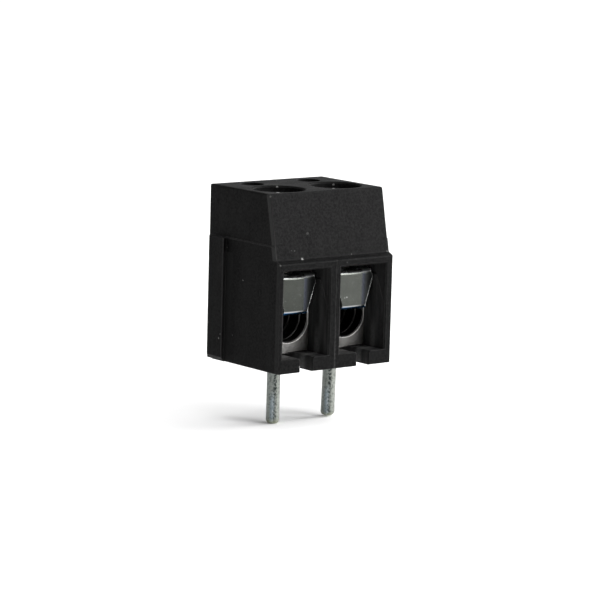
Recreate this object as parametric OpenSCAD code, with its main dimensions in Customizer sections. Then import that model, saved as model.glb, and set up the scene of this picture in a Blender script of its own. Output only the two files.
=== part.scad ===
// Two-pole screw terminal for printed circuit boards, wire entry at the front, screws from the top.
// Millimetres, +Z up. The origin lies on the board, midway between the two solder pins.
// -Y is the wire entry side, and +X is to the right when looking into the wire mouths.

/* [Housing] */
// Distance from pole to pole
pitch = 5.0; // [4.6:0.1:7.5]
// Height of the housing above the board
body_h = 12.3; // [10.2:0.1:16]
// Thickness of the floor under the clamp blocks
floor_t = 1.0; // [0.8:0.05:1.4]
// Thickness of the back wall behind the core holes
back_wall = 0.7; // [0.3:0.05:2]
// Height of the front wall above the mouths, up to the ledge
lintel_h = 0.5; // [0.3:0.05:1.2]
// Depth of the ledge
ledge_d = 0.5; // [0.2:0.05:0.8]
// Rise of the ledge towards the sloping front
ledge_rise = 0.2; // [0.1:0.05:0.5]
// Thickness of the top edge of the front wall, ahead of the screw wells
well_wall = 0.4; // [0.2:0.05:0.8]
// Height of the fine step on the side walls, level with the top of the stacking tongue
step_h = 8.75; // [6:0.05:9.8]
// Amount by which the walls below that step stand proud of those above
side_step = 0.05; // [0.02:0.01:0.15]
// Radius of the moulded outer edges
edge_r = 0.12; // [0.05:0.01:0.2]
// Width of the fine line between the poles on the front face
seam_w = 0.1; // [0.05:0.01:0.2]
// Chamfer round the rim of each screw well
well_rim = 0.1; // [0.05:0.01:0.2]

/* [Wire mouths] */
// Widening of each mouth from the cell to the front face
mouth_flare = 0.4; // [0.1:0.05:0.6]
// Height of the top of the mouth above the top of the cell
mouth_lift = 0.45; // [0.2:0.05:0.8]
// Sideways offset of the mouths from the poles, away from the grooved wall
mouth_shift = 0.1; // [0:0.05:0.2]
// Chamfer round the rim of each mouth
mouth_rim = 0.1; // [0.05:0.01:0.2]
// Distance from the top of the mouth down to the inner end of its cheeks
cheek_drop = 0.9; // [0.5:0.1:2]
// Fall of the top of the cheeks towards the front face
cheek_fall = 2.3; // [1:0.1:3]
// Gap between a pin's neck and the slot in the floor that it slides in along
slot_gap = 0.05; // [0.03:0.01:0.1]
// Lead-in chamfer along the upper edges of the slot
slot_lead = 0.12; // [0.05:0.01:0.2]

/* [Clamp blocks] */
// Diameter of the wire bore
bore_d = 3.2; // [2.6:0.05:3.6]
// Thickness of the block beside the bore
bore_wall = 0.15; // [0.1:0.01:0.3]
// Thickness of the block under the bore
bore_floor = 0.8; // [0.5:0.05:1.2]
// Thickness of the block above the bore, which takes the thread
bore_roof = 1.4; // [1:0.05:2]
// Depth of a block, front to back
block_d = 3.2; // [3:0.1:5]
// Distance from the front face back to the block
block_setback = 2.05; // [1.6:0.05:3]
// Gap between a block and the walls of its cell
block_gap = 0.05; // [0.03:0.01:0.1]
// Chamfer of the block's edges and of the bore's rim
block_edge = 0.1; // [0.05:0.01:0.15]
// Distance from the block's front to the first grip groove in the bore
grip_start = 0.9; // [0.4:0.05:1.2]
// Spacing of the grip grooves
grip_pitch = 1.15; // [0.5:0.05:1.4]
// Depth of a grip groove
grip_depth = 0.07; // [0.04:0.01:0.09]

/* [Screws] */
// Diameter of the tapped hole in a block
thread_d = 2.5; // [2:0.1:2.6]
// Radial clearance between the screw shank and the tapped hole
thread_gap = 0.05; // [0.02:0.01:0.1]
// Chamfer of the screw's tip
tip_chamfer = 0.25; // [0.1:0.05:0.4]
// Diameter of a screw head
head_d = 3.5; // [3:0.1:4.2]
// Height of a screw head
head_h = 1.6; // [1.3:0.1:2]
// Chamfer round the top of a head
head_chamfer = 0.2; // [0.05:0.05:0.4]
// Radial gap between a screw head and its well
head_gap = 0.1; // [0.05:0.01:0.2]
// Depth of the head below the top of the housing with the clamp open
head_sink = 0.7; // [0.1:0.05:1]
// Width of the driver slot
drive_w = 0.7; // [0.5:0.05:0.9]
// Depth of the driver slot
drive_depth = 0.8; // [0.5:0.05:1]
// Direction of the driver slot in the left and the right screw, in degrees
drive_turn = [53, 49];

/* [Wire guards] */
// Thickness of the leaf
guard_t = 0.2; // [0.15:0.01:0.25]
// Distance from a side of the block in to the edge of the leaf
guard_inset = 0.05; // [0.05:0.05:0.3]
// Depth of the relief at each end of the leaf's bend
guard_relief = 0.25; // [0.1:0.05:0.4]
// Distance from the top of the leaf down to its shoulders
guard_shoulder = 0.5; // [0.4:0.05:0.8]
// Width of the leaf from its curl to its free end
guard_tip_w = 2.06; // [1.6:0.02:2.4]
// Length of that narrow part on the front of the leaf, above the curl
guard_foot = 0.35; // [0.2:0.05:0.6]
// Distance that the leaf stands ahead of the block
guard_reach = 1.0; // [0.8:0.05:1.4]
// Inner radius of the bend at the top
guard_bend_r = 0.15; // [0.1:0.01:0.25]
// Inner radius of the curl at the bottom
guard_curl_r = 0.2; // [0.15:0.01:0.3]
// Distance from the bottom of the curl up to the upper face of the tongue
curl_sag = 0.67; // [0.5:0.01:0.9]
// Length of the flat end of the tongue
tongue_flat = 1.6; // [1:0.1:2]
// Distance from the end of the tongue to the back of the block
tongue_short = 0.3; // [0.1:0.05:0.8]
// Vertical gap between the tongue's edges and the roof of the bore
tongue_gap = 0.15; // [0.05:0.01:0.4]
// Gap between the tongue and the screw's tip with the clamp open
tip_gap = 0.12; // [0.05:0.01:0.3]
// Radial clearance of the screw in the leaf
guard_hole_gap = 0.05; // [0.03:0.01:0.1]

/* [Solder pins] */
// Diameter of a pin
pin_d = 0.95; // [0.8:0.05:1.2]
// Length of a pin below the board plane
pin_len = 4.2; // [2.8:0.1:6]
// Flare of the pin's cold-headed neck, from the board plane up to the block
neck_flare = 0.05; // [0.02:0.01:0.08]
// Width of the shoulder between the pin and its staked spigot
pin_shoulder = 0.075; // [0.05:0.005:0.15]
// Radial gap round the staked spigot
spigot_gap = 0.01; // [0.01:0.005:0.02]
// Chamfer of the pin's tip
pin_tip = 0.2; // [0.1:0.05:0.3]

/* [Stacking rail] */
// Width of the tongue across its outer face
rail_w = 1.7; // [1.4:0.05:2]
// Width of the tongue at its root
rail_root_w = 1.35; // [0.9:0.05:1.4]
// Distance that the tongue stands out from the side
rail_out = 0.35; // [0.25:0.05:0.45]
// Distance from the tongue to the back face
rail_inset = 0.5; // [0.1:0.05:0.6]
// Gap between a tongue and the groove of the next housing
rail_gap = 0.05; // [0.03:0.01:0.08]

/* [Core holes] */
// Diameter of the blind holes behind the screws
core_d = 1.7; // [1:0.1:3]
// Thickness of the wall between a core hole and the cell or the screw well
core_wall = 0.3; // [0.2:0.05:1]
// Height of the bottom of the core holes above the board
core_floor = 3.3; // [1:0.1:8]

/* [Hidden] */
// Overshoot of cutting shapes, and the small lap of shapes that meet
cut = 0.5;
lap = 0.01;
pole_x = [-pitch / 2, pitch / 2];
body_w = 2 * pitch;

// Clamp block, centred over the pin: its screw stands on the same axis
block_w = bore_d + 2 * bore_wall;
block_h = bore_floor + bore_d + bore_roof;
block_y0 = -block_d / 2;
block_y1 = block_d / 2;
block_z0 = floor_t;
block_z1 = block_z0 + block_h;
bore_z = block_z0 + bore_floor + bore_d / 2;
front_y = block_y0 - block_setback;

// Cell that the block slides into from the front, and its mouth
cell_w = block_w + 2 * block_gap;
cell_y1 = block_y1 + block_gap;
cell_top = block_z1 + guard_t + block_gap;
mouth_w = cell_w + mouth_flare;
mouth_top = cell_top + mouth_lift;
mouth_side = (pitch - mouth_w) / 2 - mouth_shift;
rim = min(mouth_rim, mouth_side / 3);
cheek_y = (front_y + block_y0) / 2;
cheek_back_h = mouth_top - cheek_drop;
cheek_front_h = cheek_back_h - cheek_fall;
slot_w = pin_d + 2 * neck_flare + 2 * slot_gap;

// Wells and core holes, which set the top edge and the back of the housing
well_d = head_d + 2 * head_gap;
ledge_h = mouth_top + lintel_h;
top_y = -well_d / 2 - well_wall;
core_y = max(cell_y1, well_d / 2) + core_wall + core_d / 2;
back_y = core_y + core_d / 2 + back_wall;
rail_y = back_y - rail_inset - rail_w / 2;

// Wire guard: from its flange on the block, down the front, and back under the screw
guard_w = block_w - 2 * guard_inset;
leaf_y = block_y0 - guard_reach;
leaf_top = block_z1 + guard_t;
flange_y1 = block_y1 - block_edge;
tongue_y1 = block_y1 - tongue_short;
tongue_z = bore_z + sqrt(pow(bore_d / 2, 2) - pow(guard_tip_w / 2, 2)) - tongue_gap;
leaf_low = tongue_z - curl_sag;

// Screw: drawn with the clamp open
tip_z = tongue_z + tip_gap;
head_z1 = body_h - head_sink;
head_z0 = head_z1 - head_h;
shank_d = thread_d - 2 * thread_gap;
spigot_d = pin_d - 2 * pin_shoulder;

// Corner b of the outline a, b, c, rounded to radius r in n steps
function unit(v) = v / norm(v);
function corner_arc(a, b, c, r, n) =
    let (
        ua = unit(a - b),
        uc = unit(c - b),
        half = acos(min(1, max(-1, ua * uc))) / 2,
        centre = b + unit(ua + uc) * r / sin(half),
        p0 = b + ua * r / tan(half),
        a0 = atan2((p0 - centre)[1], (p0 - centre)[0]),
        turn = (ua[0] * uc[1] - ua[1] * uc[0] > 0 ? -1 : 1) * (180 - 2 * half)
    )
    [for (i = [0 : n]) centre + r * [cos(a0 + turn * i / n), sin(a0 + turn * i / n)]];
function rounded(points, r, n) =
    let (m = len(points))
    [for (i = [0 : m - 1]) each corner_arc(points[(i + m - 1) % m], points[i], points[(i + 1) % m], r, n)];

// Outline given as [y, z], drawn out along X and centred on x
module along_x(points, x, width) {
    translate([x - width / 2, 0, 0])
        rotate([90, 0, 90])
            linear_extrude(width) polygon(points);
}

// Outline given as [x, z], drawn out along Y from y0 to y1
module along_y(points, y0, y1) {
    translate([0, y1, 0])
        rotate([90, 0, 0])
            linear_extrude(y1 - y0) polygon(points);
}

// Outline given as [x, y], drawn out along Z from z0 to z1
module along_z(points, z0, z1) {
    translate([0, 0, z0])
        linear_extrude(z1 - z0) polygon(points);
}

// Outer form of the moulding: side, front and plan outlines in one block
module body_block() {
    side = [
        [front_y, 0], [back_y, 0], [back_y, body_h], [top_y, body_h],
        [front_y + ledge_d, ledge_h + ledge_rise], [front_y, ledge_h]
    ];
    half = body_w / 2;
    top_half = half - side_step;
    front = [
        each corner_arc([-half, step_h], [-half, 0], [half, 0], edge_r, 3),
        each corner_arc([-half, 0], [half, 0], [half, step_h], edge_r, 3),
        [half, step_h], [top_half, step_h + side_step],
        each corner_arc([top_half, step_h], [top_half, body_h], [-top_half, body_h], edge_r, 3),
        each corner_arc([top_half, body_h], [-top_half, body_h], [-top_half, step_h], edge_r, 3),
        [-top_half, step_h + side_step], [-half, step_h]
    ];
    plan = [[-half, front_y], [half, front_y], [half, back_y], [-half, back_y]];
    intersection() {
        along_x(rounded(side, edge_r, 3), 0, body_w);
        along_y(front, front_y, back_y);
        along_z(rounded(plan, edge_r, 3), 0, body_h);
    }
}

// Cell, mouth and floor slot of one pole, as the space to cut away
module pole_space(x) {
    mouth_x0 = x - mouth_shift - mouth_w / 2;
    mouth_x1 = mouth_x0 + mouth_w;
    cell_x0 = x - cell_w / 2;
    cell_x1 = x + cell_w / 2;
    // Cell for the clamp block and the guard's flange
    along_z([[cell_x0, block_y0 - cut], [cell_x1, block_y0 - cut],
             [cell_x1, cell_y1], [cell_x0, cell_y1]], floor_t, cell_top);
    // Mouth: full width above the cheeks, narrowing to the cell between them
    difference() {
        along_z([[mouth_x0, front_y - cut], [mouth_x1, front_y - cut],
                 [mouth_x1, block_y0], [mouth_x0, block_y0]], floor_t, mouth_top);
        intersection() {
            union() {
                along_z([[mouth_x0 - cut, front_y], [mouth_x0, front_y], [cell_x0, cheek_y],
                         [cell_x0, block_y0 + cut], [mouth_x0 - cut, block_y0 + cut]], 0, body_h);
                along_z([[mouth_x1 + cut, front_y], [mouth_x1, front_y], [cell_x1, cheek_y],
                         [cell_x1, block_y0 + cut], [mouth_x1 + cut, block_y0 + cut]], 0, body_h);
            }
            along_x([[front_y, 0], [block_y0 + cut, 0], [block_y0 + cut, cheek_back_h],
                     [cheek_y, cheek_back_h], [front_y, cheek_front_h]],
                    x, mouth_w + 4 * cut);
        }
    }
    // Chamfered rim of the mouth
    intersection() {
        along_z([[mouth_x0 - rim - cut, front_y - cut], [mouth_x1 + rim + cut, front_y - cut],
                 [mouth_x1, front_y + rim], [mouth_x0, front_y + rim]], floor_t, body_h);
        along_x([[front_y - cut, floor_t], [front_y + rim, floor_t],
                 [front_y + rim, mouth_top], [front_y - cut, mouth_top + rim + cut]],
                x, mouth_w + 4 * cut);
    }
    // Slot that lets the pin slide in along the floor
    pin_slot(x);
}

// Slot through the floor, with lead-in edges and a round end behind the pin
module pin_slot(x) {
    translate([x, 0, -cut]) cylinder(d = slot_w, h = floor_t + 2 * cut, $fn = 48);
    translate([x - slot_w / 2, front_y - cut, -cut])
        cube([slot_w, cut - front_y, floor_t + 2 * cut]);
    along_y([[x - slot_w / 2, floor_t - slot_lead], [x + slot_w / 2, floor_t - slot_lead],
             [x + slot_w / 2 + slot_lead, floor_t + lap], [x - slot_w / 2 - slot_lead, floor_t + lap]],
            front_y - cut, block_y0);
}

// Dovetail pointing left: root_w wide at the side wall at x, outer_w wide at the distance out
module dovetail(x, root_w, outer_w, out, z0, z1) {
    root = x + cut / 2;
    tip = x - out;
    along_z([[root, rail_y - root_w / 2], [x, rail_y - root_w / 2], [tip, rail_y - outer_w / 2],
             [tip, rail_y + outer_w / 2], [x, rail_y + root_w / 2], [root, rail_y + root_w / 2]], z0, z1);
}

// Moulded housing for both poles
module housing() {
    left = -body_w / 2;
    right = body_w / 2;
    color("#1b1b1c") difference() {
        union() {
            body_block();
            // Stacking tongue on the left, with a lead-in at its lower end
            intersection() {
                dovetail(left, rail_root_w, rail_w, rail_out, 0, step_h);
                along_y([[left + cut, 0], [left + cut, step_h], [left - rail_out, step_h],
                         [left - rail_out, rail_out], [left, 0]], front_y, back_y);
            }
        }
        for (x = pole_x) pole_space(x);
        for (x = pole_x) screw_well(x);
        for (x = pole_x) core_hole(x);
        // Stacking groove on the right, open at the board side
        dovetail(right, rail_root_w + 2 * rail_gap, rail_w + 2 * rail_gap, rail_out + rail_gap,
                 -cut, step_h + rail_gap);
        // Fine line between the two poles on the front face
        along_z([[-seam_w / 2, front_y], [0, front_y + seam_w / 2], [seam_w / 2, front_y],
                 [seam_w / 2, front_y - cut], [-seam_w / 2, front_y - cut]], -cut, ledge_h);
    }
}

// Well above a clamp screw, down to the flange of the wire guard, with a chamfered rim
module screw_well(x) {
    well_r = well_d / 2;
    translate([x, 0, 0]) rotate_extrude($fn = 96) polygon([
        [0, leaf_top], [well_r, leaf_top], [well_r, body_h - well_rim],
        [well_r + well_rim + cut, body_h + cut], [0, body_h + cut]
    ]);
}

// Blind core hole behind a screw
module core_hole(x) {
    translate([x, core_y, core_floor]) cylinder(d = core_d, h = body_h - core_floor + cut, $fn = 48);
}

// Box with chamfered vertical and horizontal edges
module chamfered_block(w, y0, y1, z0, z1, c) {
    intersection() {
        along_z([[-w / 2 + c, y0], [w / 2 - c, y0], [w / 2, y0 + c], [w / 2, y1 - c],
                 [w / 2 - c, y1], [c - w / 2, y1], [-w / 2, y1 - c], [-w / 2, y0 + c]], z0, z1);
        along_x([[y0 + c, z0], [y1 - c, z0], [y1, z0 + c], [y1, z1 - c],
                 [y1 - c, z1], [y0 + c, z1], [y0, z1 - c], [y0, z0 + c]], 0, w);
    }
}

// Plated brass block: wire bore with grip grooves, tapped hole and a hole for the pin's spigot
module clamp_block(i) {
    bore_r = bore_d / 2;
    color("#a8a6a0") translate([pole_x[i], 0, 0]) difference() {
        chamfered_block(block_w, block_y0, block_y1, block_z0, block_z1, block_edge);
        translate([0, block_y0, bore_z]) rotate([-90, 0, 0]) rotate_extrude($fn = 96) polygon([
            [0, -cut], [bore_r + block_edge, -cut], [bore_r + block_edge, 0], [bore_r, block_edge],
            each [for (g = [grip_start, grip_start + grip_pitch]) each [
                [bore_r, g - grip_depth], [bore_r + grip_depth, g], [bore_r, g + grip_depth]
            ]],
            [bore_r, block_d - block_edge], [bore_r + block_edge, block_d],
            [bore_r + block_edge, block_d + cut], [0, block_d + cut]
        ]);
        translate([0, 0, bore_z]) cylinder(d = thread_d, h = block_z1 - bore_z + cut, $fn = 64);
        translate([0, 0, block_z0 - cut]) cylinder(d = spigot_d, h = bore_z - block_z0 + cut, $fn = 48);
    }
}

// Round solder pin: flared neck against the block, spigot staked through its underside
module solder_pin(i) {
    spigot_r = spigot_d / 2 - spigot_gap;
    spigot_top = bore_z - sqrt(pow(bore_d / 2, 2) - pow(spigot_r, 2));
    color("#b9bbb8") translate([pole_x[i], 0, 0]) rotate_extrude($fn = 64) polygon([
        [0, -pin_len], [pin_d / 2 - pin_tip, -pin_len], [pin_d / 2, pin_tip - pin_len], [pin_d / 2, 0],
        [pin_d / 2 + neck_flare, block_z0], [spigot_r, block_z0], [spigot_r, spigot_top], [0, spigot_top]
    ]);
}

// Leaf outline in [y, z] on one side of its bend, offset by r from the inner radius
function leaf_side(off) =
    let (
        bend = [leaf_y + guard_t + guard_bend_r, leaf_top - guard_t - guard_bend_r],
        curl = [leaf_y + guard_t + guard_curl_r, leaf_low + guard_t + guard_curl_r],
        rb = guard_bend_r + off,
        rc = guard_curl_r + off
    )
    [
        [flange_y1, bend[1] + rb],
        each [for (i = [0 : 6]) bend + rb * [cos(90 + 15 * i), sin(90 + 15 * i)]],
        each [for (i = [0 : 7]) curl + rc * [cos(180 + 15 * i), sin(180 + 15 * i)]]
    ];

// Thin stainless leaf: flange round the screw, tapered front, curl and tongue
module wire_guard(i) {
    inner = leaf_side(0);
    outer = leaf_side(guard_t);
    rise = [tongue_y1 - tongue_flat, tongue_z];
    section = [
        each outer,
        rise - [0, guard_t],
        [tongue_y1, tongue_z - guard_t],
        [tongue_y1, tongue_z],
        rise,
        each [for (k = [len(inner) - 1 : -1 : 0]) inner[k]]
    ];
    half = guard_w / 2;
    waist = half - guard_relief;
    tip = guard_tip_w / 2;
    shoulder_z = leaf_top - guard_shoulder;
    taper_z = leaf_low + guard_foot;
    face = [
        [-tip, leaf_low - cut], [tip, leaf_low - cut], [tip, taper_z], [half, shoulder_z],
        [half, leaf_top + cut], [-half, leaf_top + cut], [-half, shoulder_z], [-tip, taper_z]
    ];
    color("#c9cac6") translate([pole_x[i], 0, 0]) difference() {
        intersection() {
            along_x(section, 0, guard_w);
            along_y(face, leaf_y - cut, flange_y1 + cut);
        }
        // Relief at the ends of the bend
        for (side = [-1, 1])
            along_y([[side * waist, leaf_top + cut], [side * waist, leaf_top - guard_t],
                     [side * (half + lap), shoulder_z], [side * (half + cut), shoulder_z],
                     [side * (half + cut), leaf_top + cut]],
                    leaf_y - cut, leaf_y + guard_t + guard_bend_r);
        translate([0, 0, leaf_top - guard_t - cut])
            cylinder(d = thread_d + 2 * guard_hole_gap, h = guard_t + 2 * cut, $fn = 64);
    }
}

// Slotted screw, its thread drawn as a plain shank
module clamp_screw(i) {
    shank_r = shank_d / 2;
    head_r = head_d / 2;
    color("#c4c2ba") translate([pole_x[i], 0, 0]) difference() {
        rotate_extrude($fn = 96) polygon([
            [0, tip_z], [shank_r - tip_chamfer, tip_z], [shank_r, tip_z + tip_chamfer],
            [shank_r, head_z0], [head_r - head_chamfer / 2, head_z0], [head_r, head_z0 + head_chamfer / 2],
            [head_r, head_z1 - head_chamfer], [head_r - head_chamfer, head_z1], [0, head_z1]
        ]);
        rotate([0, 0, drive_turn[i]])
            translate([-head_d, -drive_w / 2, head_z1 - drive_depth])
                cube([2 * head_d, drive_w, drive_depth + cut]);
    }
}

housing();
clamp_block(0);  // clamp_block_1
clamp_block(1);  // clamp_block_2
solder_pin(0);  // solder_pin_1
solder_pin(1);  // solder_pin_2
wire_guard(0);  // wire_guard_1
wire_guard(1);  // wire_guard_2
clamp_screw(0);  // clamp_screw_1
clamp_screw(1);  // clamp_screw_2
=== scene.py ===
import math

import bmesh
import bpy
from mathutils import Matrix, Vector, noise


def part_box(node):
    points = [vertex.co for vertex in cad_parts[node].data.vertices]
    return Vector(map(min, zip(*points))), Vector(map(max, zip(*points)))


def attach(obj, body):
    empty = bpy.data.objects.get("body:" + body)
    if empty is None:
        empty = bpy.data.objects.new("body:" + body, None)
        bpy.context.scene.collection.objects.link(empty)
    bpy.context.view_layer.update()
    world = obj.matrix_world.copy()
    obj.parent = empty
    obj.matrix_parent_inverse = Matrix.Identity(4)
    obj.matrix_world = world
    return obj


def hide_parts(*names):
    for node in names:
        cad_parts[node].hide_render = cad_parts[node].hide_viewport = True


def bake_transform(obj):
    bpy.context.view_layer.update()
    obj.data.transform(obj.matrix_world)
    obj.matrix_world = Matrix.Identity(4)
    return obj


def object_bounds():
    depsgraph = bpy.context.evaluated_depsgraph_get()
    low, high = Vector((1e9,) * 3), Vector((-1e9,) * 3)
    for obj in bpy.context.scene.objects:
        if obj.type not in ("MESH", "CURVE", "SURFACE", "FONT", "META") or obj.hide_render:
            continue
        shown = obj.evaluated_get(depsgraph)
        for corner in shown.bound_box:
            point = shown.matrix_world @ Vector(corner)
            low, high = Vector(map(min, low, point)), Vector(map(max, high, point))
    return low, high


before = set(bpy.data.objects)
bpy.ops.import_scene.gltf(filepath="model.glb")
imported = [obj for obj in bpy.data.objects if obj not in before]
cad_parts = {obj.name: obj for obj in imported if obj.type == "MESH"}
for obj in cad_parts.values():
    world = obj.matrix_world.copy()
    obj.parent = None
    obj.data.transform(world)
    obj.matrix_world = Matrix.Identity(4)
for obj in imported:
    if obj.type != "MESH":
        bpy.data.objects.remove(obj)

cad_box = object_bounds()
MM = 0.001

# Camera: a long lens at the front left, a little above the board. It leans over by a degree and a half.
AZIMUTH = math.radians(38.343)
ELEVATION = math.radians(8.588)
LEAN = math.radians(1.515)
DISTANCE = 217.69 * MM
LENS = 186.75
CENTRE = Vector((0, 0.15, 6.0)) * MM
AIM_LEFT = 0.2125 * MM
AIM_BELOW = 1.679 * MM
back = Vector((-math.sin(AZIMUTH) * math.cos(ELEVATION), -math.cos(AZIMUTH) * math.cos(ELEVATION),
               math.sin(ELEVATION)))
level = Vector((math.cos(AZIMUTH), -math.sin(AZIMUTH), 0))
rise = back.cross(level)
side = level * math.cos(LEAN) + rise * math.sin(LEAN)
up = rise * math.cos(LEAN) - level * math.sin(LEAN)
place = CENTRE + back * DISTANCE
aim = CENTRE - side * AIM_LEFT - up * AIM_BELOW
away = (place - aim).normalized()
side = up.cross(away).normalized()
up = away.cross(side)
lens = bpy.data.cameras.new("camera")
lens.lens = LENS
lens.sensor_width = 36
lens.clip_start = 0.01
lens.clip_end = 10
camera = bpy.data.objects.new("camera", lens)
camera.matrix_world = Matrix((
    (side.x, up.x, away.x, place.x),
    (side.y, up.y, away.y, place.y),
    (side.z, up.z, away.z, place.z),
    (0, 0, 0, 1)))
bpy.context.scene.collection.objects.link(camera)
bpy.context.scene.camera = camera


# Housing: one moulding of black glass-filled nylon for both poles. The spark-eroded mould leaves a fine even
# grain, the flow of the melt leaves faint upright streaks, and handling has left lint and small scuffs on it.
NYLON = (0.0016, 0.0016, 0.0017)
NYLON_STREAK = (0.0085, 0.0085, 0.0085)
NYLON_EDGE = (0.032, 0.032, 0.032)
NYLON_MOUTH = (0.036, 0.036, 0.036)
NYLON_DUST = (0.075, 0.075, 0.074)
NYLON_FLANK = (0.014, 0.014, 0.014)
NYLON_BORDER = (0.028, 0.028, 0.028)
NYLON_STEP = (0.024, 0.024, 0.024)
SEAM = (0.05, 0.05, 0.05)
LINT = (0.40, 0.40, 0.39)
# Places on the moulding: its front face, the mouths, the left wall, the rail, the ledge and the fine step
FACE_Y = cad_box[0].y
MOUTH_TOP = 7.25 * MM
MOUTH_BACK = 1.8 * MM
WALL_IN = 4.8 * MM
WALL_OUT = 4.9 * MM
FLANK_X = -5.0 * MM
RAIL_X = -5.35 * MM
RAIL_Y = 2.35 * MM
LEDGE_Z = 7.75 * MM
LEDGE_D = 0.5 * MM
STEP_Z = 8.76 * MM
# The sloping front: its lower and upper height, then its depth at each
SLANT = (7.9 * MM, 12.3 * MM, -3.15 * MM, -2.25 * MM)
# Width of the painted highlight along the side walls behind the front, and radii of the edges
BORDER = 0.33 * MM
OUTER_R = 0.1 * MM
MOUTH_R = 0.06 * MM
# Where a painted patch of light lies in the mouths: its line, half its width, and the heights where it thins
# out
DUST_Y = -2.45 * MM
DUST_HALF = 0.4 * MM
DUST_Z = (3.2 * MM, 1.4 * MM)
# Distance over which one finish runs into the next, and how far the outline of a fleck strays
FADE = 0.05 * MM
STRAY = 0.13 * MM
# Place and radius in mm, and strength, of each fleck of lint, each scuff and each painted glint; the four at
# the rims of the screw wells are painted glints
FLECKS = [
    (-2.72, -3.17, 7.81, 0.12, 0.6), (-2.04, -2.82, 9.51, 0.12, 0.06),
    (-3.54, -3.04, 8.45, 0.06, 0.15), (-3.3, -3.04, 8.4, 0.05, 0.12),
    (1.62, -3.16, 7.87, 0.07, 0.2), (1.63, -3.65, 7.6, 0.05, 0.15),
    (0.84, -3.65, 7.4, 0.07, 0.1), (4.84, -3.16, 7.86, 0.06, 0.3),
    (-4.97, -3.63, 7.58, 0.1, 0.2), (-4.93, -2.26, 12.15, 0.1, 0.12),
    (-5.0, 0.5, 6.02, 0.07, 0.2), (-5.0, 2.4, 8.05, 0.05, 0.12),
    (-5.0, 1.57, 2.02, 0.06, 0.1), (-5.35, 2.7, 1.67, 0.08, 0.3),
    (-5.35, 2.55, 1.97, 0.06, 0.25), (-3.81, -1.65, 12.3, 0.15, 0.8),
    (1.13, -1.56, 12.3, 0.13, 0.7), (-1.43, 1.51, 12.22, 0.11, 0.4),
    (3.59, 1.5, 12.1, 0.1, 0.3), (-3.1, -3.65, 0.42, 0.06, 0.5)
]


class Paint:
    """A new material with its Principled shader, and short ways to add the nodes that drive it."""

    def __init__(self, name):
        self.material = bpy.data.materials.new(name)
        self.material.use_nodes = True
        self.tree = self.material.node_tree
        self.shader = self.tree.nodes["Principled BSDF"]
        self.place = self.add("ShaderNodeTexCoord").outputs["Object"]

    def add(self, kind, inputs=None, **settings):
        """A node of this kind. An input that is given as a socket is linked, and any other is set."""
        node = self.tree.nodes.new(kind)
        for key, value in settings.items():
            setattr(node, key, value)
        for key, value in (inputs or {}).items():
            self.feed(node.inputs[key], value)
        return node

    def feed(self, socket, value):
        """Links a socket to another one, or sets it; a colour may be given by three numbers."""
        if isinstance(value, bpy.types.NodeSocket):
            self.tree.links.new(value, socket)
        elif socket.type == "RGBA":
            socket.default_value = (*value, 1)
        else:
            socket.default_value = value

    def set(self, **inputs):
        """Sets or links inputs of the shader; a name is written with _ for its spaces."""
        for key, value in inputs.items():
            self.feed(self.shader.inputs[key.replace("_", " ")], value)

    def stretched(self, x, y, z):
        """Object coordinates, scaled along each axis."""
        return self.add("ShaderNodeMapping", {"Vector": self.place, "Scale": (x, y, z)}).outputs["Vector"]

    def cloud(self, per_mm, detail=3, roughness=0.55, where=None):
        """Soft noise with so many features to the millimetre."""
        node = self.add("ShaderNodeTexNoise", {"Vector": where or self.place, "Scale": per_mm / MM,
                                               "Detail": detail, "Roughness": roughness})
        return node.outputs["Fac"]

    def ramp(self, value, start, end, low=0, high=1):
        """Turns value from start to end into low to high, and holds it within them."""
        node = self.add("ShaderNodeMapRange", {"Value": value, "From Min": start, "From Max": end,
                                               "To Min": low, "To Max": high})
        return node.outputs["Result"]

    def maths(self, operation, *values):
        """One step of arithmetic on sockets and numbers."""
        return self.add("ShaderNodeMath", dict(enumerate(values)), operation=operation).outputs["Value"]

    def vectors(self, operation, *values, output="Value"):
        """Vector maths; output is Value for a number and Vector for a vector."""
        node = self.add("ShaderNodeVectorMath", dict(enumerate(values)), operation=operation)
        return node.outputs[output]

    def product(self, first, *others):
        """All of these masks multiplied."""
        for other in others:
            first = self.maths("MULTIPLY", first, other)
        return first

    def apart(self, value, middle):
        """How far a value lies from the middle one, on either side."""
        return self.maths("ABSOLUTE", self.maths("SUBTRACT", value, middle))

    def mixed(self, factor, first, second):
        """The first colour at factor 0, the second at 1."""
        node = self.add("ShaderNodeMix", data_type="RGBA")
        for key, value in ((0, factor), (6, first), (7, second)):
            self.feed(node.inputs[key], value)
        return node.outputs[2]

    def bumped(self, height, depth, strength=1.0, under=None):
        """A normal with bumps of this depth in mm."""
        inputs = {"Height": height, "Strength": strength, "Distance": depth * MM}
        if under:
            inputs["Normal"] = under
        return self.add("ShaderNodeBump", inputs).outputs["Normal"]

    def parts(self):
        """The three coordinates, each as a socket of its own."""
        return self.add("ShaderNodeSeparateXYZ", {0: self.place}).outputs

    def rounded(self, radius):
        """A normal that is rounded at the edges."""
        return self.add("ShaderNodeBevel", {"Radius": radius}, samples=8).outputs["Normal"]

    def on_edges(self, rounded):
        """A mask that is 1 where a rounded normal leans away from the face's own."""
        face = self.add("ShaderNodeNewGeometry").outputs["Normal"]
        return self.ramp(self.vectors("DOT_PRODUCT", rounded, face), 0.998, 0.94)


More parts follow.
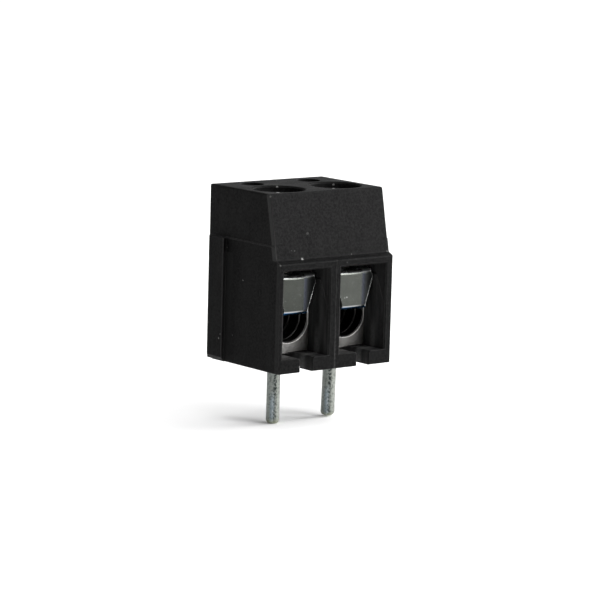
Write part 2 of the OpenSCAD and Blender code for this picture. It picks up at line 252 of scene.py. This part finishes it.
def black_nylon():
    paint = Paint("black_nylon")
    streaks = paint.cloud(1.5, 5, 0.6, paint.stretched(1, 1, 0.12))
    patches = paint.cloud(0.6, 4)
    mottle = paint.cloud(6, 3, 0.7)
    grain = paint.cloud(12, 3, 0.65)
    x, y, z = paint.parts()
    sideways = paint.maths("ABSOLUTE", x)
    # Inside the mouths and on their rims
    inside = paint.product(paint.ramp(z, MOUTH_TOP + FADE, MOUTH_TOP),
                           paint.ramp(sideways, WALL_IN, WALL_IN - 0.02 * MM))
    # On the left wall beside the rail
    under_ledge = paint.ramp(z, LEDGE_Z + FADE, LEDGE_Z)
    beside = paint.product(paint.ramp(x, FLANK_X + 0.1 * MM, FLANK_X + 0.08 * MM),
                           paint.ramp(x, FLANK_X - 0.33 * MM, FLANK_X - 0.31 * MM),
                           paint.ramp(y, 1.6 * MM, 2.4 * MM), under_ledge)
    sharp = paint.maths("MAXIMUM", inside, paint.ramp(beside, 0, 0.1))
    rounded = paint.rounded(paint.ramp(sharp, 0, 1, OUTER_R, MOUTH_R))
    body = paint.mixed(paint.ramp(streaks, 0.4, 0.7, 0, 0.4), NYLON, NYLON_STREAK)
    body = paint.mixed(paint.ramp(mottle, 0.4, 0.6, 0, 0.9), body, NYLON_STREAK)
    # Painted light: the mouths are painted lighter, in streaky patches, to make up for the shade in them, and
    # so is the wall beside the rail's flank
    deep = paint.product(inside, paint.ramp(y, FACE_Y + 0.02 * MM, FACE_Y + 0.3 * MM),
                         paint.ramp(y, MOUTH_BACK + 0.1 * MM, MOUTH_BACK), paint.ramp(z, FADE, 2 * FADE))
    coarse = paint.product(deep, paint.ramp(streaks, 0.4, 0.65, 0.35, 1))
    body = paint.mixed(coarse, body, NYLON_MOUTH)
    # A painted patch of light lies low in the mouths, beside the blocks
    dusty = paint.product(paint.ramp(paint.apart(y, DUST_Y), DUST_HALF, 0.25 * DUST_HALF),
                          paint.ramp(z, *DUST_Z), deep, paint.ramp(mottle, 0.35, 0.6, 0.5, 1))
    body = paint.mixed(dusty, body, NYLON_DUST)
    # Painted light: the shaded wall beside the rail is painted lighter
    body = paint.mixed(beside, body, NYLON_FLANK)
    # Painted highlight: the side walls are painted lighter in a border behind the front, as if a rounder edge
    # caught the light
    front_y = paint.maths("SUBTRACT", paint.ramp(z, *SLANT), paint.product(under_ledge, LEDGE_D))
    behind = paint.maths("SUBTRACT", y, front_y)
    border = paint.product(paint.ramp(behind, 0, 0.03 * MM),
                           paint.ramp(behind, BORDER + 0.08 * MM, BORDER),
                           paint.ramp(sideways, WALL_OUT - FADE, WALL_OUT),
                           paint.ramp(z, 7.7 * MM, 7.9 * MM, 0.4, 0.95))
    body = paint.mixed(border, body, NYLON_BORDER)
    # Painted highlights along the edges, in patches like wear
    worn = paint.product(paint.on_edges(paint.rounded(MOUTH_R)), paint.ramp(patches, 0.35, 0.65, 0.35, 1))
    body = paint.mixed(worn, body, NYLON_EDGE)
    # The mould's parting line between the poles, painted as a light line, dashed and stronger low down: a
    # painted highlight on its ridge
    parting = paint.product(paint.ramp(sideways, 0.07 * MM, 0.03 * MM),
                            paint.ramp(y, FACE_Y + 0.2 * MM, FACE_Y + 0.1 * MM),
                            paint.ramp(mottle, 0.4, 0.6, 0.2, 1), paint.ramp(z, 4 * MM, 0.5 * MM, 0.15, 1))
    body = paint.mixed(parting, body, SEAM)
    # The fine step on the side walls and the rail's front edge catch the light in places
    step = paint.product(paint.ramp(paint.apart(z, STEP_Z), 0.08 * MM, 0.05 * MM),
                         paint.ramp(sideways, WALL_OUT, WALL_OUT + 0.03 * MM),
                         paint.ramp(mottle, 0.4, 0.6, 0.4, 1))
    rail = paint.product(paint.ramp(x, RAIL_X + 0.05 * MM, RAIL_X + 0.02 * MM),
                         paint.ramp(y, RAIL_Y + 0.14 * MM, RAIL_Y + 0.08 * MM, 0, 0.8))
    body = paint.mixed(paint.maths("MAXIMUM", step, rail), body, NYLON_STEP)
    # Lint, scuffs and painted glints: ragged spots round the places listed
    shift = paint.add("ShaderNodeTexNoise", {"Vector": paint.place, "Scale": 9 / MM, "Detail": 2})
    ragged = paint.vectors("MULTIPLY_ADD", shift.outputs["Color"], (STRAY,) * 3, paint.place,
                           output="Vector")
    spots = None
    for *point, radius, strength in FLECKS:
        middle = Vector(point) * MM + Vector((0.5,) * 3) * STRAY
        spot = paint.ramp(paint.vectors("DISTANCE", ragged, middle), radius * MM, 0.5 * radius * MM,
                          0, strength)
        spots = paint.maths("MAXIMUM", spots, spot) if spots else spot
    paint.set(Base_Color=paint.mixed(spots, body, LINT))
    paint.set(Roughness=paint.ramp(patches, 0.3, 0.7, 0.44, 0.56))
    paint.set(Specular_IOR_Level=0.035)
    paint.set(Normal=paint.bumped(grain, 0.02, 0.8, paint.bumped(streaks, 0.02, 0.3, rounded)))
    return paint.material


def dress(name, material):
    """Gives a CAD node its material."""
    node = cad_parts[name]
    node.data.materials.clear()
    node.data.materials.append(material)


dress("housing", black_nylon())


# Clamp blocks: sawn from brass bar, drilled, tapped and barrel-plated with matt tin. The bore is painted dark
# as painted shade, and the tumbling has left the flat faces softly pitted.
TIN = (0.215, 0.213, 0.206)
TIN_DULL = (0.16, 0.157, 0.15)
BORE_DARK = (0.085, 0.083, 0.08)
BORE_BLACK = (0.01, 0.01, 0.01)
TIN_EDGE = (0.75, 0.74, 0.72)
# Radius that use and tumbling give to the edges of plated parts
WORN_R = 0.04 * MM
block_low, block_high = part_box("clamp_block_2")
pole_x = (block_low.x + block_high.x) / 2
BORE_R = 1.6 * MM
BORE_Z = 3.4 * MM


def across(paint):
    """How far to the right of its own pole's axis a point lies."""
    x = paint.parts()["X"]
    return paint.maths("SUBTRACT", x, paint.maths("MULTIPLY", paint.maths("SIGN", x), pole_x))


def flat(paint, first, second):
    """A vector of two coordinates."""
    return paint.add("ShaderNodeCombineXYZ", {"X": first, "Y": second}).outputs["Vector"]


def tinned_block():
    paint = Paint("tinned_brass")
    pits = paint.cloud(9, 4, 0.65)
    patches = paint.cloud(0.9, 3)
    x, _, z = paint.parts()
    rounded = paint.rounded(WORN_R)
    face = paint.mixed(paint.ramp(patches, 0.38, 0.62), TIN, TIN_DULL)
    # Painted shade in the bore, darker in the right pole
    from_axis = paint.vectors("LENGTH", flat(paint, across(paint), paint.maths("SUBTRACT", z, BORE_Z)))
    in_bore = paint.ramp(from_axis, BORE_R + 0.085 * MM, BORE_R + 0.02 * MM)
    face = paint.mixed(in_bore, face, paint.mixed(paint.ramp(x, -MM, MM), BORE_DARK, BORE_BLACK))
    face = paint.mixed(paint.product(paint.on_edges(rounded), 0.8), face, TIN_EDGE)
    paint.set(Base_Color=face, Metallic=1.0)
    paint.set(Roughness=paint.ramp(pits, 0.3, 0.7, 0.28, 0.44))
    paint.set(Normal=paint.bumped(pits, 0.03, 0.6, rounded))
    return paint.material


tinned = tinned_block()
for k in (1, 2):
    dress(f"clamp_block_{k}", tinned)


# Solder pins: round brass wire, cold-headed at the neck and staked into the block, then dipped in tin. The
# coat is a little lumpy, has dark mottling down one side where the flux was burnt, and rounds the tip off.
TIN_GREY = (0.195, 0.212, 0.198)
TIN_BRIGHT = (0.27, 0.285, 0.26)
TIN_BLUE = (0.19, 0.235, 0.26)
TIN_SHINE = (0.42, 0.45, 0.46)
TIN_DARK = (0.02, 0.026, 0.024)
TIN_TIP = (0.33, 0.35, 0.25)
# Towards the side where the burnt flux lies and where the pins are painted brighter as if lit, seen from
# above
BURNT = (0.784, -0.62, 0)
PIN_R = 0.475 * MM
NECK_R = 0.525 * MM
SPIGOT_R = 0.39 * MM
TIP_R = 0.3 * MM
PIN_STEPS = 48
PIN_RING = 0.1 * MM
# The coat: depth and pitch of its lumps, and how far it reaches up
COAT = 0.007 * MM
LUMP = 3.2 / MM
COAT_TOP = -0.1 * MM
# Of each pin: what the coat adds to its radius and takes off its length, and how far its tip is bent
THICKER = {1: 0.0, 2: 0.02 * MM}
SHORTER = {1: 0.0, 2: 0.08 * MM}
BENT = {1: Vector((0, 0)), 2: Vector((-0.06, 0.05)) * MM}
# Vertices nearer than this are one
WELD = 0.0005 * MM


def placed(name, data):
    """A new object in the scene."""
    made = bpy.data.objects.new(name, data)
    bpy.context.scene.collection.objects.link(made)
    return made


def settle(mesh_data, name, material, angle=35):
    """Makes a piece of a finished mesh: smooth, with its edges over this angle left sharp."""
    mesh_data.materials.append(material)
    mesh_data.shade_smooth()
    mesh_data.set_sharp_from_angle(angle=math.radians(angle))
    return placed(name, mesh_data)


def from_bmesh(bm, name):
    """A mesh of welded vertices with its normals outward."""
    bmesh.ops.remove_doubles(bm, verts=bm.verts, dist=WELD)
    bmesh.ops.recalc_face_normals(bm, faces=bm.faces)
    mesh_data = bpy.data.meshes.new(name)
    bm.to_mesh(mesh_data)
    bm.free()
    return mesh_data


def chain(bm, points):
    """A row of vertices joined by edges."""
    verts = [bm.verts.new(point) for point in points]
    edges = [bm.edges.new(pair) for pair in zip(verts, verts[1:])]
    return verts + edges


def divided(points, step):
    """The points [r, z] of an outline, with more between them so that none are further apart than step."""
    out = [points[0]]
    for start, end in zip(points, points[1:]):
        count = max(1, math.ceil(math.dist(start, end) / step))
        out += [(start[0] + (end[0] - start[0]) * i / count, start[1] + (end[1] - start[1]) * i / count)
                for i in range(1, count + 1)]
    return out


def solder_pin(k):
    low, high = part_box(f"solder_pin_{k}")
    x = (low.x + high.x) / 2
    pin_r, tip_z = PIN_R + THICKER[k], low.z + SHORTER[k]
    outline = [(0, tip_z), (pin_r - TIP_R, tip_z)]
    outline += [(pin_r - TIP_R + TIP_R * math.sin(a), tip_z + TIP_R - TIP_R * math.cos(a))
                for a in (math.radians(15 * i) for i in range(1, 7))]
    outline += [(pin_r, 0), (NECK_R, block_low.z), (SPIGOT_R, block_low.z), (SPIGOT_R, high.z), (0, high.z)]
    bm = bmesh.new()
    profile = chain(bm, [(r, 0, z) for r, z in divided(outline, PIN_RING)])
    bmesh.ops.spin(bm, geom=profile, cent=(0, 0, 0), axis=(0, 0, 1), dvec=(0, 0, 0), angle=math.tau,
                   steps=PIN_STEPS, use_merge=True)
    # The uneven coat, only below the housing
    for v in bm.verts:
        if v.co.z < COAT_TOP and v.co.xy.length > 0.1 * MM:
            lump = noise.noise(Vector((v.co.x, v.co.y, v.co.z * 0.6)) * LUMP + Vector((7 * k, 0, 0)))
            v.co.xy *= 1 + (lump - 0.4) * COAT / pin_r
        v.co.xy += BENT[k] * max(0, v.co.z / low.z)
    bmesh.ops.translate(bm, verts=bm.verts, vec=(x, 0, 0))
    return from_bmesh(bm, f"tinned_pin_{k}")


def dipped_tin():
    paint = Paint("tinned_pin")
    mottle = paint.cloud(8, 4, 0.7, paint.stretched(1, 1, 0.6))
    patches = paint.cloud(1.1, 3, 0.5, paint.stretched(1, 1, 0.45))
    fine = paint.cloud(14, 3, 0.6)
    dots = paint.cloud(7, 2, 0.6)
    x, y, z = paint.parts()
    # How far round to that side a point lies
    turn = paint.vectors("DOT_PRODUCT", flat(paint, across(paint), y), BURNT)
    turn = paint.maths("ADD", turn, paint.ramp(x, -MM, MM, 0, 0.22 * PIN_R))
    # Painted highlight: each pin is painted brighter on that side
    tin = paint.mixed(paint.ramp(turn, 0.35 * PIN_R, 0.5 * PIN_R), TIN_GREY, TIN_BRIGHT)
    lower = paint.ramp(z, -1.8 * MM, -2.5 * MM)
    middle = paint.product(paint.ramp(turn, 0.3 * PIN_R, 0.1 * PIN_R),
                           paint.ramp(turn, -0.6 * PIN_R, -0.3 * PIN_R, 0, 0.8))
    tin = paint.mixed(paint.product(lower, middle), tin, TIN_BLUE)
    # A painted highlight streak down the middle, and the dotted dark line of the flux beside it
    shine = paint.product(paint.ramp(turn, -0.2 * PIN_R, -0.05 * PIN_R),
                          paint.ramp(turn, 0.15 * PIN_R, 0.05 * PIN_R), lower, paint.ramp(mottle, 0.6, 0.4))
    tin = paint.mixed(shine, tin, TIN_SHINE)
    line = paint.product(paint.ramp(turn, -0.05 * PIN_R, 0.15 * PIN_R),
                         paint.ramp(turn, 0.65 * PIN_R, 0.4 * PIN_R), paint.ramp(lower, 0, 1, 1, 0.6),
                         paint.ramp(dots, 0.42, 0.55, 0.15, 1))
    tin = paint.mixed(line, tin, TIN_DARK)
    tin = paint.mixed(paint.ramp(dots, 0.5, 0.62, 0, 0.45), tin, TIN_DARK)
    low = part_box("solder_pin_1")[0].z
    tin = paint.mixed(paint.ramp(z, low + 0.4 * MM, low + 0.1 * MM, 0, 0.7), tin, TIN_TIP)
    paint.set(Base_Color=tin, Metallic=0.85)
    paint.set(Roughness=paint.ramp(patches, 0.3, 0.7, 0.3, 0.45))
    paint.set(Normal=paint.bumped(fine, 0.02, 0.5, paint.bumped(mottle, 0.02, 0.8)))
    return paint.material


dipped = dipped_tin()
for k in (1, 2):
    pin = settle(solder_pin(k), f"tinned_pin_{k}", dipped)
    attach(pin, "root")
    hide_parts(f"solder_pin_{k}")


# Wire guards: leaves stamped from stainless strip and bent twice. The screw passes through the flange, the
# front hangs over the bore, and the tongue runs back under the screw's tip. The shears left a fine burr.
STEEL = (0.072, 0.076, 0.069)
STEEL_DULL = (0.048, 0.051, 0.046)
BURNISHED = (0.42, 0.43, 0.43)
BLUED = (0.02, 0.11, 0.26)
TINTED = (0.060, 0.066, 0.09)
SHEARED = (0.9, 0.9, 0.88)
LEAF_T = 0.2 * MM
BEND_R = 0.15 * MM
CURL_R = 0.2 * MM
CURL_TURN = 105
RELIEF = 0.25 * MM
SHOULDER = 0.5 * MM
FOOT = 0.35 * MM
TIP_W = 2.16 * MM
TONGUE_END = 1.3 * MM
TONGUE_FLAT = 1.6 * MM
TONGUE_Z = 4.474 * MM
HOLE_R = 1.3 * MM
BURR = 0.035 * MM
BROKEN = 0.012 * MM
# Length of the short strip between the flange and the bend
STRIP = 0.06 * MM
# Of each leaf: how far its sides stand back from its middle, and how far its end hangs to one side
CROWN = {1: 0.255 * MM, 2: 0.155 * MM}
SWAY = {1: -0.16 * MM, 2: -0.03 * MM}
# Painted glints on the right leaf, in mm
GLINTS = [(1.61, -2.6, 4.7), (1.42, -2.6, 4.6), (1.79, -2.6, 4.74)]
# Places of the lines of vertices across the leaf, from its left side at -1 to its right side at 1
COLUMNS = [-1, -0.975, -0.94, -0.88, -0.6, -0.3, 0, 0.3, 0.6, 0.88, 0.94, 0.975, 1]


def grown(bm, row):
    """Extrudes a row of edges in place, and returns the vertices and the edges of the new row."""
    made = bmesh.ops.extrude_edge_only(bm, edges=row)["geom"]
    verts = [g for g in made if isinstance(g, bmesh.types.BMVert)]
    return verts, [g for g in made if isinstance(g, bmesh.types.BMEdge) and set(g.verts) <= set(verts)]


def carry(bm, row, offset, steps):
    """Extrudes a row of edges straight on, and returns the last row."""
    for _ in range(steps):
        verts, row = grown(bm, row)
        bmesh.ops.translate(bm, verts=verts, vec=offset / steps)
    return row


def swing(bm, row, centre, degrees, steps):
    """Turns a row of edges about an axis along X, and returns the last row."""
    verts = list(dict.fromkeys(v for edge in row for v in edge.verts))
    made = bmesh.ops.spin(bm, geom=verts + row, cent=centre, axis=(1, 0, 0), dvec=(0, 0, 0),
                          angle=math.radians(degrees), steps=steps)["geom_last"]
    return [g for g in made if isinstance(g, bmesh.types.BMEdge)]


def cut_out(body, name, tool_mesh):
    """Takes the shape of a tool out of a body, and returns the tool."""
    tool = placed(name, from_bmesh(tool_mesh, name))
    cut = body.modifiers.new(name, "BOOLEAN")
    cut.object = tool
    cut.solver = "EXACT"
    return tool


def finished(body, tool):
    """The body's mesh with its modifiers applied; the body and its tool go."""
    mesh_data = bpy.data.meshes.new_from_object(body.evaluated_get(bpy.context.evaluated_depsgraph_get()))
    bpy.data.objects.remove(body)
    bpy.data.objects.remove(tool)
    mesh_data.materials.clear()
    return mesh_data


def half_width(z, top, low, half):
    """Half of the leaf's width at height z on its front."""
    stations = [(low - LEAF_T, TIP_W / 2), (low + FOOT, TIP_W / 2), (top - SHOULDER, half),
                (top - LEAF_T / 2, half - RELIEF), (top, half - RELIEF)]
    for (z0, w0), (z1, w1) in zip(stations, stations[1:]):
        if z <= z1:
            return w0 + (w1 - w0) * max(0, z - z0) / (z1 - z0)
    return w1


def wire_guard(k, material):
    low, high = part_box(f"wire_guard_{k}")
    x, half = (low.x + high.x) / 2, (high.x - low.x) / 2
    mid = LEAF_T / 2
    bend = Vector((0, low.y + LEAF_T + BEND_R, high.z - LEAF_T - BEND_R))
    curl = Vector((0, low.y + LEAF_T + CURL_R, low.z + LEAF_T + CURL_R))
    bm = bmesh.new()
    first = chain(bm, [(t, high.y, high.z - mid) for t in COLUMNS])
    row = [g for g in first if isinstance(g, bmesh.types.BMEdge)]
    row = carry(bm, row, Vector((0, bend.y + STRIP - high.y, 0)), 4)
    row = carry(bm, row, Vector((0, -STRIP, 0)), 1)
    flange = set(bm.verts) - {v for edge in row for v in edge.verts}
    row = swing(bm, row, bend, 90, 9)
    row = carry(bm, row, Vector((0, 0, curl.z - bend.z)), 12)
    row = swing(bm, row, curl, CURL_TURN, 10)
    end = next(iter(row)).verts[0].co
    ramp_end = Vector((0, TONGUE_END - TONGUE_FLAT - end.y, TONGUE_Z - mid - end.z))
    row = carry(bm, row, ramp_end, 6)
    carry(bm, row, Vector((0, TONGUE_FLAT, 0)), 4)
    for v in bm.verts:
        t = v.co.x
        wide = half if v in flange else half_width(v.co.z, high.z, low.z, half)
        if v not in flange and v.co.y > curl.y + mid:
            wide = TIP_W / 2
        v.co.x = t * wide
        # On the front: a slight crown, and the burr that the shears lifted along both sides
        if v.co.y < bend.y and v not in flange:
            share = min(1, (bend.y - v.co.y) / (BEND_R + mid))
            v.co.y += share * (CROWN[k] * (v.co.x / half) ** 2 - BURR * max(0, (abs(t) - 0.93) / 0.07) ** 2)
        # Each leaf hangs a little askew; inside the bore its tongue is central again
        down = min(1, (high.z - v.co.z) / (high.z - low.z))
        home = min(1, max(0, (v.co.y - curl.y) / (block_low.y - curl.y)))
        v.co.x += SWAY[k] * down * (1 - home)
    bmesh.ops.translate(bm, verts=bm.verts, vec=(x, 0, 0))
    leaf = placed("leaf", from_bmesh(bm, f"guard_leaf_{k}"))
    # Sheet thickness, the hole for the screw, and edges just broken
    wall = leaf.modifiers.new("thickness", "SOLIDIFY")
    wall.thickness = LEAF_T
    wall.offset = 0
    bm = bmesh.new()
    bmesh.ops.create_cone(bm, cap_ends=True, segments=64, radius1=HOLE_R, radius2=HOLE_R, depth=2 * MM)
    bmesh.ops.translate(bm, verts=bm.verts, vec=(x, 0, high.z))
    drill = cut_out(leaf, "drill", bm)
    broken = leaf.modifiers.new("edges", "BEVEL")
    broken.width = BROKEN
    broken.segments = 2
    broken.limit_method = "ANGLE"
    broken.angle_limit = math.radians(40)
    piece = settle(finished(leaf, drill), f"guard_leaf_{k}", material)
    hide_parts(f"wire_guard_{k}")
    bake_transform(piece)


def spring_strip():
    paint = Paint("stainless_leaf")
    rolled = paint.cloud(4, 4, 0.6, paint.stretched(1, 1, 0.06))
    specks = paint.cloud(9, 3, 0.6)
    patches = paint.cloud(0.8, 3)
    x, y, z = paint.parts()
    low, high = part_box("wire_guard_1")
    # The left leaf is a little darker
    darker = paint.ramp(x, MM, -MM, 0, 0.7)
    darker = paint.maths("ADD", darker, paint.ramp(patches, 0.35, 0.65, 0, 0.3))
    steel = paint.mixed(darker, STEEL, STEEL_DULL)
    # Bright specks, in the colour also used for the painted highlights
    steel = paint.mixed(paint.ramp(specks, 0.66, 0.74, 0, 0.4), steel, BURNISHED)
    # Painted highlights along both bends, and a painted blue reflection on the underside of the curl
    steel = paint.mixed(paint.ramp(z, high.z - 0.22 * MM, high.z - 0.14 * MM), steel, BURNISHED)
    steel = paint.mixed(paint.ramp(z, low.z + 0.33 * MM, low.z + 0.25 * MM), steel, BURNISHED)
    blued = paint.product(paint.ramp(z, low.z + 0.24 * MM, low.z + 0.19 * MM),
                          paint.ramp(y, -2.2 * MM, -2.28 * MM))
    steel = paint.mixed(blued, steel, BLUED)
    # Painted highlights in dashes along the sheared sides below the upper bend
    dashes = paint.ramp(paint.cloud(5, 2, 0.5), 0.4, 0.55, 0.15, 1)
    sheared = paint.product(paint.on_edges(paint.rounded(0.03 * MM)), dashes,
                            paint.ramp(z, high.z - 0.4 * MM, high.z - 0.5 * MM))
    steel = paint.mixed(sheared, steel, SHEARED)
    # A painted dark bluish reflection towards the right side of each leaf
    right = paint.maths("SUBTRACT", across(paint), paint.ramp(x, -MM, MM, 0.4 * MM, 0.55 * MM))
    over_curl = paint.ramp(z, low.z + 0.3 * MM, low.z + 0.35 * MM)
    tint = paint.product(paint.ramp(right, 0, 0.15 * MM, 0, 0.7),
                         paint.ramp(right, 0.5 * MM, 0.25 * MM, 0.25, 1), over_curl,
                         paint.ramp(z, high.z - 0.2 * MM, high.z - 0.3 * MM))
    steel = paint.mixed(tint, steel, TINTED)
    # Painted glints
    for point in GLINTS:
        far = paint.vectors("DISTANCE", paint.place, Vector(point) * MM)
        steel = paint.mixed(paint.ramp(far, 0.07 * MM, 0.02 * MM, 0, 0.45), steel, SHEARED)
    paint.set(Base_Color=steel, Metallic=1.0)
    rubbed = paint.product(paint.ramp(right, 0.1 * MM, 0.35 * MM, 0, 0.1), over_curl)
    paint.set(Roughness=paint.maths("ADD", paint.ramp(rolled, 0.3, 0.7, 0.2, 0.28), rubbed))
    paint.set(Normal=paint.bumped(rolled, 0.004, 0.5))
    return paint.material


strip = spring_strip()
for k in (1, 2):
    wire_guard(k, strip)


# Clamp screws: M2.5 steel screws, cold-headed, slotted and zinc plated. The head is turned flat on top with a
# small chamfer, the thread runs up to a short neck, and the slot's edges are worn bright by screwdrivers.
ZINC = (0.62, 0.61, 0.57)
ZINC_DULL = (0.42, 0.415, 0.39)
ZINC_EDGE = (0.8, 0.79, 0.76)
PITCH = 0.45 * MM
MAJOR_R = 1.22 * MM
MINOR_R = 0.97 * MM
# One pitch of the thread: radii, and their heights as shares of the pitch
THREAD = [(MINOR_R, 0), (MINOR_R, 0.12), (MAJOR_R, 0.44), (MAJOR_R, 0.56), (MINOR_R, 0.88), (MINOR_R, 1)]
THREAD_STEPS = 36
TIP_CHAMFER = 0.2 * MM
HEAD_H = 1.6 * MM
HEAD_EDGE = 0.2 * MM
NECK_H = 0.35 * MM
WAIST_R = MINOR_R - 0.03 * MM
SLOT_W = 0.7 * MM
SLOT_DEPTH = 0.8 * MM
SLOT_TURN = {1: 53, 2: 49}
LATHE = 0.09 * MM


def boundary(bm):
    """The edges that have only one face."""
    return [edge for edge in bm.edges if edge.is_boundary]


def clamp_screw(k):
    low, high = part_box(f"clamp_screw_{k}")
    x, head_r = (low.x + high.x) / 2, (high.x - low.x) / 2
    thread_top = high.z - HEAD_H - NECK_H
    start = low.z - PITCH
    turns = math.ceil((thread_top - start) / PITCH) + 1
    bm = bmesh.new()
    # The thread's outline is turned and lifted together
    profile = chain(bm, [(r, 0, start + share * PITCH) for r, share in THREAD])
    bmesh.ops.spin(bm, geom=profile, cent=(0, 0, 0), axis=(0, 0, 1), dvec=(0, 0, PITCH / THREAD_STEPS),
                   angle=math.tau * turns, steps=THREAD_STEPS * turns)
    bmesh.ops.remove_doubles(bm, verts=bm.verts, dist=WELD)
    for height, upward in ((low.z, -1), (thread_top, 1)):
        everything = list(bm.verts) + list(bm.edges) + list(bm.faces)
        bmesh.ops.bisect_plane(bm, geom=everything, plane_co=(0, 0, height), plane_no=(0, 0, upward),
                               clear_outer=True)
    # Flat chamfered tip
    tip = [edge for edge in boundary(bm) if abs(edge.verts[0].co.z - low.z) < 0.001 * MM]
    bmesh.ops.holes_fill(bm, edges=tip, sides=0)
    for v in bm.verts:
        room = MINOR_R - TIP_CHAMFER + (v.co.z - low.z)
        if v.co.xy.length > room:
            v.co.xy *= room / v.co.xy.length
    # Neck and head, drawn on from the thread's last ring
    rings = [(WAIST_R, thread_top + 0.06 * MM), (WAIST_R, high.z - HEAD_H),
             (head_r - HEAD_EDGE / 2, high.z - HEAD_H), (head_r, high.z - HEAD_H + HEAD_EDGE / 2),
             (head_r, high.z - HEAD_EDGE), (head_r - HEAD_EDGE * 0.35, high.z - HEAD_EDGE * 0.3),
             (head_r - HEAD_EDGE, high.z)]
    row = boundary(bm)
    for radius, z in rings:
        verts, row = grown(bm, row)
        for v in verts:
            v.co.xy *= radius / v.co.xy.length
            v.co.z = z
    bmesh.ops.holes_fill(bm, edges=row, sides=0)
    bmesh.ops.translate(bm, verts=bm.verts, vec=(x, 0, 0))
    screw = placed("screw", from_bmesh(bm, f"slotted_screw_{k}"))
    # The slot is sawn across the head
    bm = bmesh.new()
    bmesh.ops.create_cube(bm, size=1)
    bmesh.ops.scale(bm, verts=bm.verts, vec=(3 * head_r, SLOT_W, 2 * SLOT_DEPTH))
    bmesh.ops.rotate(bm, verts=bm.verts, matrix=Matrix.Rotation(math.radians(SLOT_TURN[k]), 3, "Z"))
    bmesh.ops.translate(bm, verts=bm.verts, vec=(x, 0, high.z))
    return finished(screw, cut_out(screw, "slot", bm))


def zinc_plate():
    paint = Paint("zinc_screw")
    patches = paint.cloud(1.2, 4)
    fine = paint.cloud(12, 3, 0.6)
    rounded = paint.rounded(WORN_R)
    # Rings that the lathe left on the head
    from_axis = paint.vectors("LENGTH", flat(paint, across(paint), paint.parts()["Y"]))
    rings = paint.maths("SINE", paint.product(from_axis, math.tau / LATHE))
    zinc = paint.mixed(paint.ramp(patches, 0.35, 0.65), ZINC, ZINC_DULL)
    zinc = paint.mixed(paint.product(paint.on_edges(rounded), 0.7), zinc, ZINC_EDGE)
    paint.set(Base_Color=zinc, Metallic=1.0)
    paint.set(Roughness=paint.ramp(fine, 0.3, 0.7, 0.24, 0.4))
    paint.set(Normal=paint.bumped(rings, 0.004, 0.35, paint.bumped(fine, 0.015, 0.3, rounded)))
    return paint.material


zinc = zinc_plate()
for k in (1, 2):
    screw = settle(clamp_screw(k), f"slotted_screw_{k}", zinc)
    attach(screw, f"screw_{k}")
    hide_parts(f"clamp_screw_{k}")


# Floor: a plain pale sheet, which isn't part of the terminal. It lies level with the tips of the pins, and
# the terminal stands on it.
FLOOR_HALF = 3.0
floor_z = cad_box[0].z
floor_mesh = bmesh.new()
bmesh.ops.create_grid(floor_mesh, x_segments=1, y_segments=1, size=FLOOR_HALF)
bmesh.ops.translate(floor_mesh, verts=floor_mesh.verts, vec=(0, 0, floor_z))
floor_data = bpy.data.meshes.new("floor")
floor_mesh.to_mesh(floor_data)
floor_mesh.free()
floor = placed("floor", floor_data)
pale = Paint("floor")
pale.set(Base_Color=(0.97, 0.97, 0.97), Roughness=0.9, Specular_IOR_Level=0.1)
floor.data.materials.append(pale.material)


# Light: a dim white room, one broad soft lamp overhead, a little to the right, and three soft panels: one at
# the front right, a stronger one at the right side, and a very weak one behind.
WORLD = 0.30
OVERHEAD = 2.5
OVERHEAD_SPREAD = 90
# Place and power of each panel, and the size of all three
PANELS = {
    "front_panel": ((0.183, -0.340, 0.145), 1.2),
    "side_panel": ((0.42, -0.08, 0.11), 2.2),
    "back_panel": ((0.24, 0.31, 0.14), 0.06)
}
PANEL_SIZE = (0.24, 0.16)
world = bpy.data.worlds.new("studio")
world.use_nodes = True
world.node_tree.nodes["Background"].inputs["Color"].default_value = (1, 1, 1, 1)
world.node_tree.nodes["Background"].inputs["Strength"].default_value = WORLD
bpy.context.scene.world = world


def lamp(name, kind, place, energy):
    """A lamp at this place, turned to the middle of the terminal."""
    data = bpy.data.lights.new(name, kind)
    data.energy = energy
    lit = placed(name, data)
    lit.location = place
    lit.rotation_mode = "QUATERNION"
    lit.rotation_quaternion = (Vector(place) - CENTRE).to_track_quat("Z", "Y")
    return data


lamp("overhead", "SUN", (0.35, -0.30, 1.0), OVERHEAD).angle = math.radians(OVERHEAD_SPREAD)
for name, (place, energy) in PANELS.items():
    panel = lamp(name, "AREA", place, energy)
    panel.shape = "RECTANGLE"
    panel.size, panel.size_y = PANEL_SIZE

bpy.context.scene.view_settings.view_transform = "Standard"
